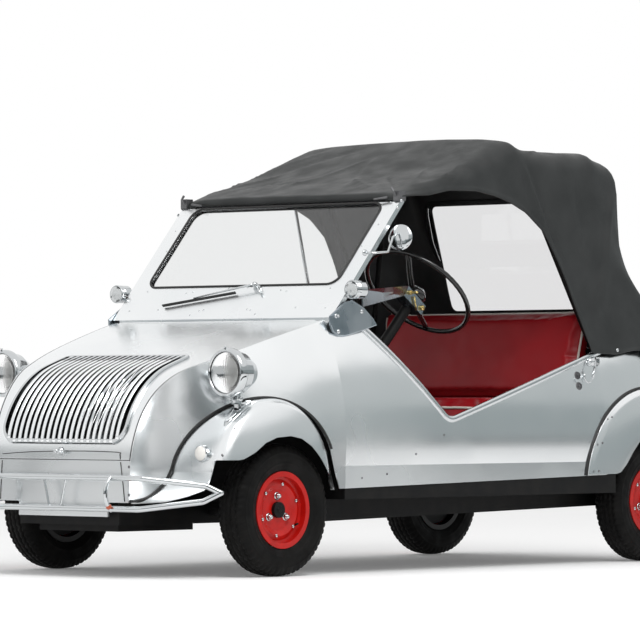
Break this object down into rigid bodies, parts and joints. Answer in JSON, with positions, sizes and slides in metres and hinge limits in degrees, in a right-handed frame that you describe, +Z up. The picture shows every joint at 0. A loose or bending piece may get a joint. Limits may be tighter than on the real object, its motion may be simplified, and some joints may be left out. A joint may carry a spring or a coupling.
{
  "type": "microcar",
  "caption": "Open aluminium microcar with a folding soft top, cut-down sides, a bar grille on a lifting bonnet, steered front wheels and a red bench seat.",
  "frame": {"origin": "on the ground at the middle of the car's length and width", "axes": "+Z up, the nose points to -Y, the driver's side (left) is +X"},
  "size_m": [1.148, 2.5649, 1.3707],
  "materials": {
    "aluminium_body": "brushed bare aluminium sheet",
    "chrome": "bright chrome plate",
    "black_paint": "satin black paint",
    "engine_metal": "plain metal mass",
    "axle_steel": "oiled steel",
    "red_paint": "gloss red paint",
    "tyre": "black rubber with moulded tread",
    "clear_glass": "clear flat glass",
    "lens_glass": "fluted lens glass",
    "clear_sheet": "clear flexible window sheet",
    "hood_cloth": "dark grey coated cloth",
    "bow_steel": "dark painted steel tube",
    "red_vinyl": "red padded leathercloth with pale piping",
    "black_plastic": "black moulded rim",
    "lamp_red": "red lamp"
  },
  "bodies": {
    "car": {"chassis_frame": "black_paint", "floor_pan": "red_paint", "engine_block": "engine_metal", "front_axle": "axle_steel", "rear_axle": "axle_steel", "nose_valance": "aluminium_body", "scuttle": "aluminium_body", "tail_panel": "aluminium_body", "windscreen_frame": "aluminium_body", "windscreen_glass": "clear_glass", "hood": "hood_cloth", "hood_window": "clear_sheet", "hood_bows": "bow_steel", "seat_cushion": "red_vinyl", "seat_backrest": "red_vinyl", "steering_column": "black_paint", "front_bumper": "chrome", "rear_bumper": "chrome", "mirror": "chrome", "wiper": "chrome", "body_side_left": "aluminium_body", "body_side_right": "aluminium_body", "front_wing_left": "aluminium_body", "front_wing_right": "aluminium_body", "rear_wing_left": "aluminium_body", "rear_wing_right": "aluminium_body", "headlamp_left": "chrome", "headlamp_right": "chrome", "headlamp_lens_left": "lens_glass", "headlamp_lens_right": "lens_glass", "side_lamp_left": "chrome", "side_lamp_right": "chrome", "turn_lamp_left": "chrome", "turn_lamp_right": "chrome", "tail_lamp_left": "lamp_red", "tail_lamp_right": "lamp_red"},
    "bonnet_lid": {"bonnet": "aluminium_body", "grille": "chrome"},
    "steering_wheel_turning": {"steering_wheel": "black_plastic"},
    "knuckle_left_turning": {"knuckle_left": "axle_steel"},
    "knuckle_right_turning": {"knuckle_right": "axle_steel"},
    "wheel_front_left": {"rim_front_left": "red_paint", "tyre_front_left": "tyre"},
    "wheel_front_right": {"rim_front_right": "red_paint", "tyre_front_right": "tyre"},
    "wheel_rear_left": {"rim_rear_left": "red_paint", "tyre_rear_left": "tyre"},
    "wheel_rear_right": {"rim_rear_right": "red_paint", "tyre_rear_right": "tyre"}
  },
  "joints": [
    {"name": "steer_left", "type": "hinge", "parent": "car", "child": "knuckle_left_turning", "pos_m": [0.412, -0.788, 0.2], "axis": [0, 0, 1], "range_deg": [-26, 26]},
    {"name": "spin_front_left", "type": "hinge", "parent": "knuckle_left_turning", "child": "wheel_front_left", "pos_m": [0.462, -0.788, 0.2], "axis": [1, 0, 0], "continuous": true},
    {"name": "spin_rear_left", "type": "hinge", "parent": "car", "child": "wheel_rear_left", "pos_m": [0.462, 0.988, 0.2], "axis": [1, 0, 0], "continuous": true},
    {"name": "steer_right", "type": "hinge", "parent": "car", "child": "knuckle_right_turning", "pos_m": [-0.412, -0.788, 0.2], "axis": [0, 0, 1], "range_deg": [-26, 26]},
    {"name": "spin_front_right", "type": "hinge", "parent": "knuckle_right_turning", "child": "wheel_front_right", "pos_m": [-0.462, -0.788, 0.2], "axis": [1, 0, 0], "continuous": true},
    {"name": "spin_rear_right", "type": "hinge", "parent": "car", "child": "wheel_rear_right", "pos_m": [-0.462, 0.988, 0.2], "axis": [1, 0, 0], "continuous": true},
    {"name": "steering_wheel_turn", "type": "hinge", "parent": "car", "child": "steering_wheel_turning", "pos_m": [0.25, 0.11, 0.873], "axis": [0, 0.6947, 0.7193], "range_deg": [-270, 270]},
    {"name": "bonnet_hinge", "type": "hinge", "parent": "car", "child": "bonnet_lid", "pos_m": [0, -0.555, 0.7705], "axis": [-1, 0, 0], "range_deg": [0, 60]}
  ],
  "couplings": [
    {"joint": "steer_right", "follows": "steer_left", "ratio": 1},
    {"joint": "steering_wheel_turn", "follows": "steer_left", "ratio": 10}
  ]
}
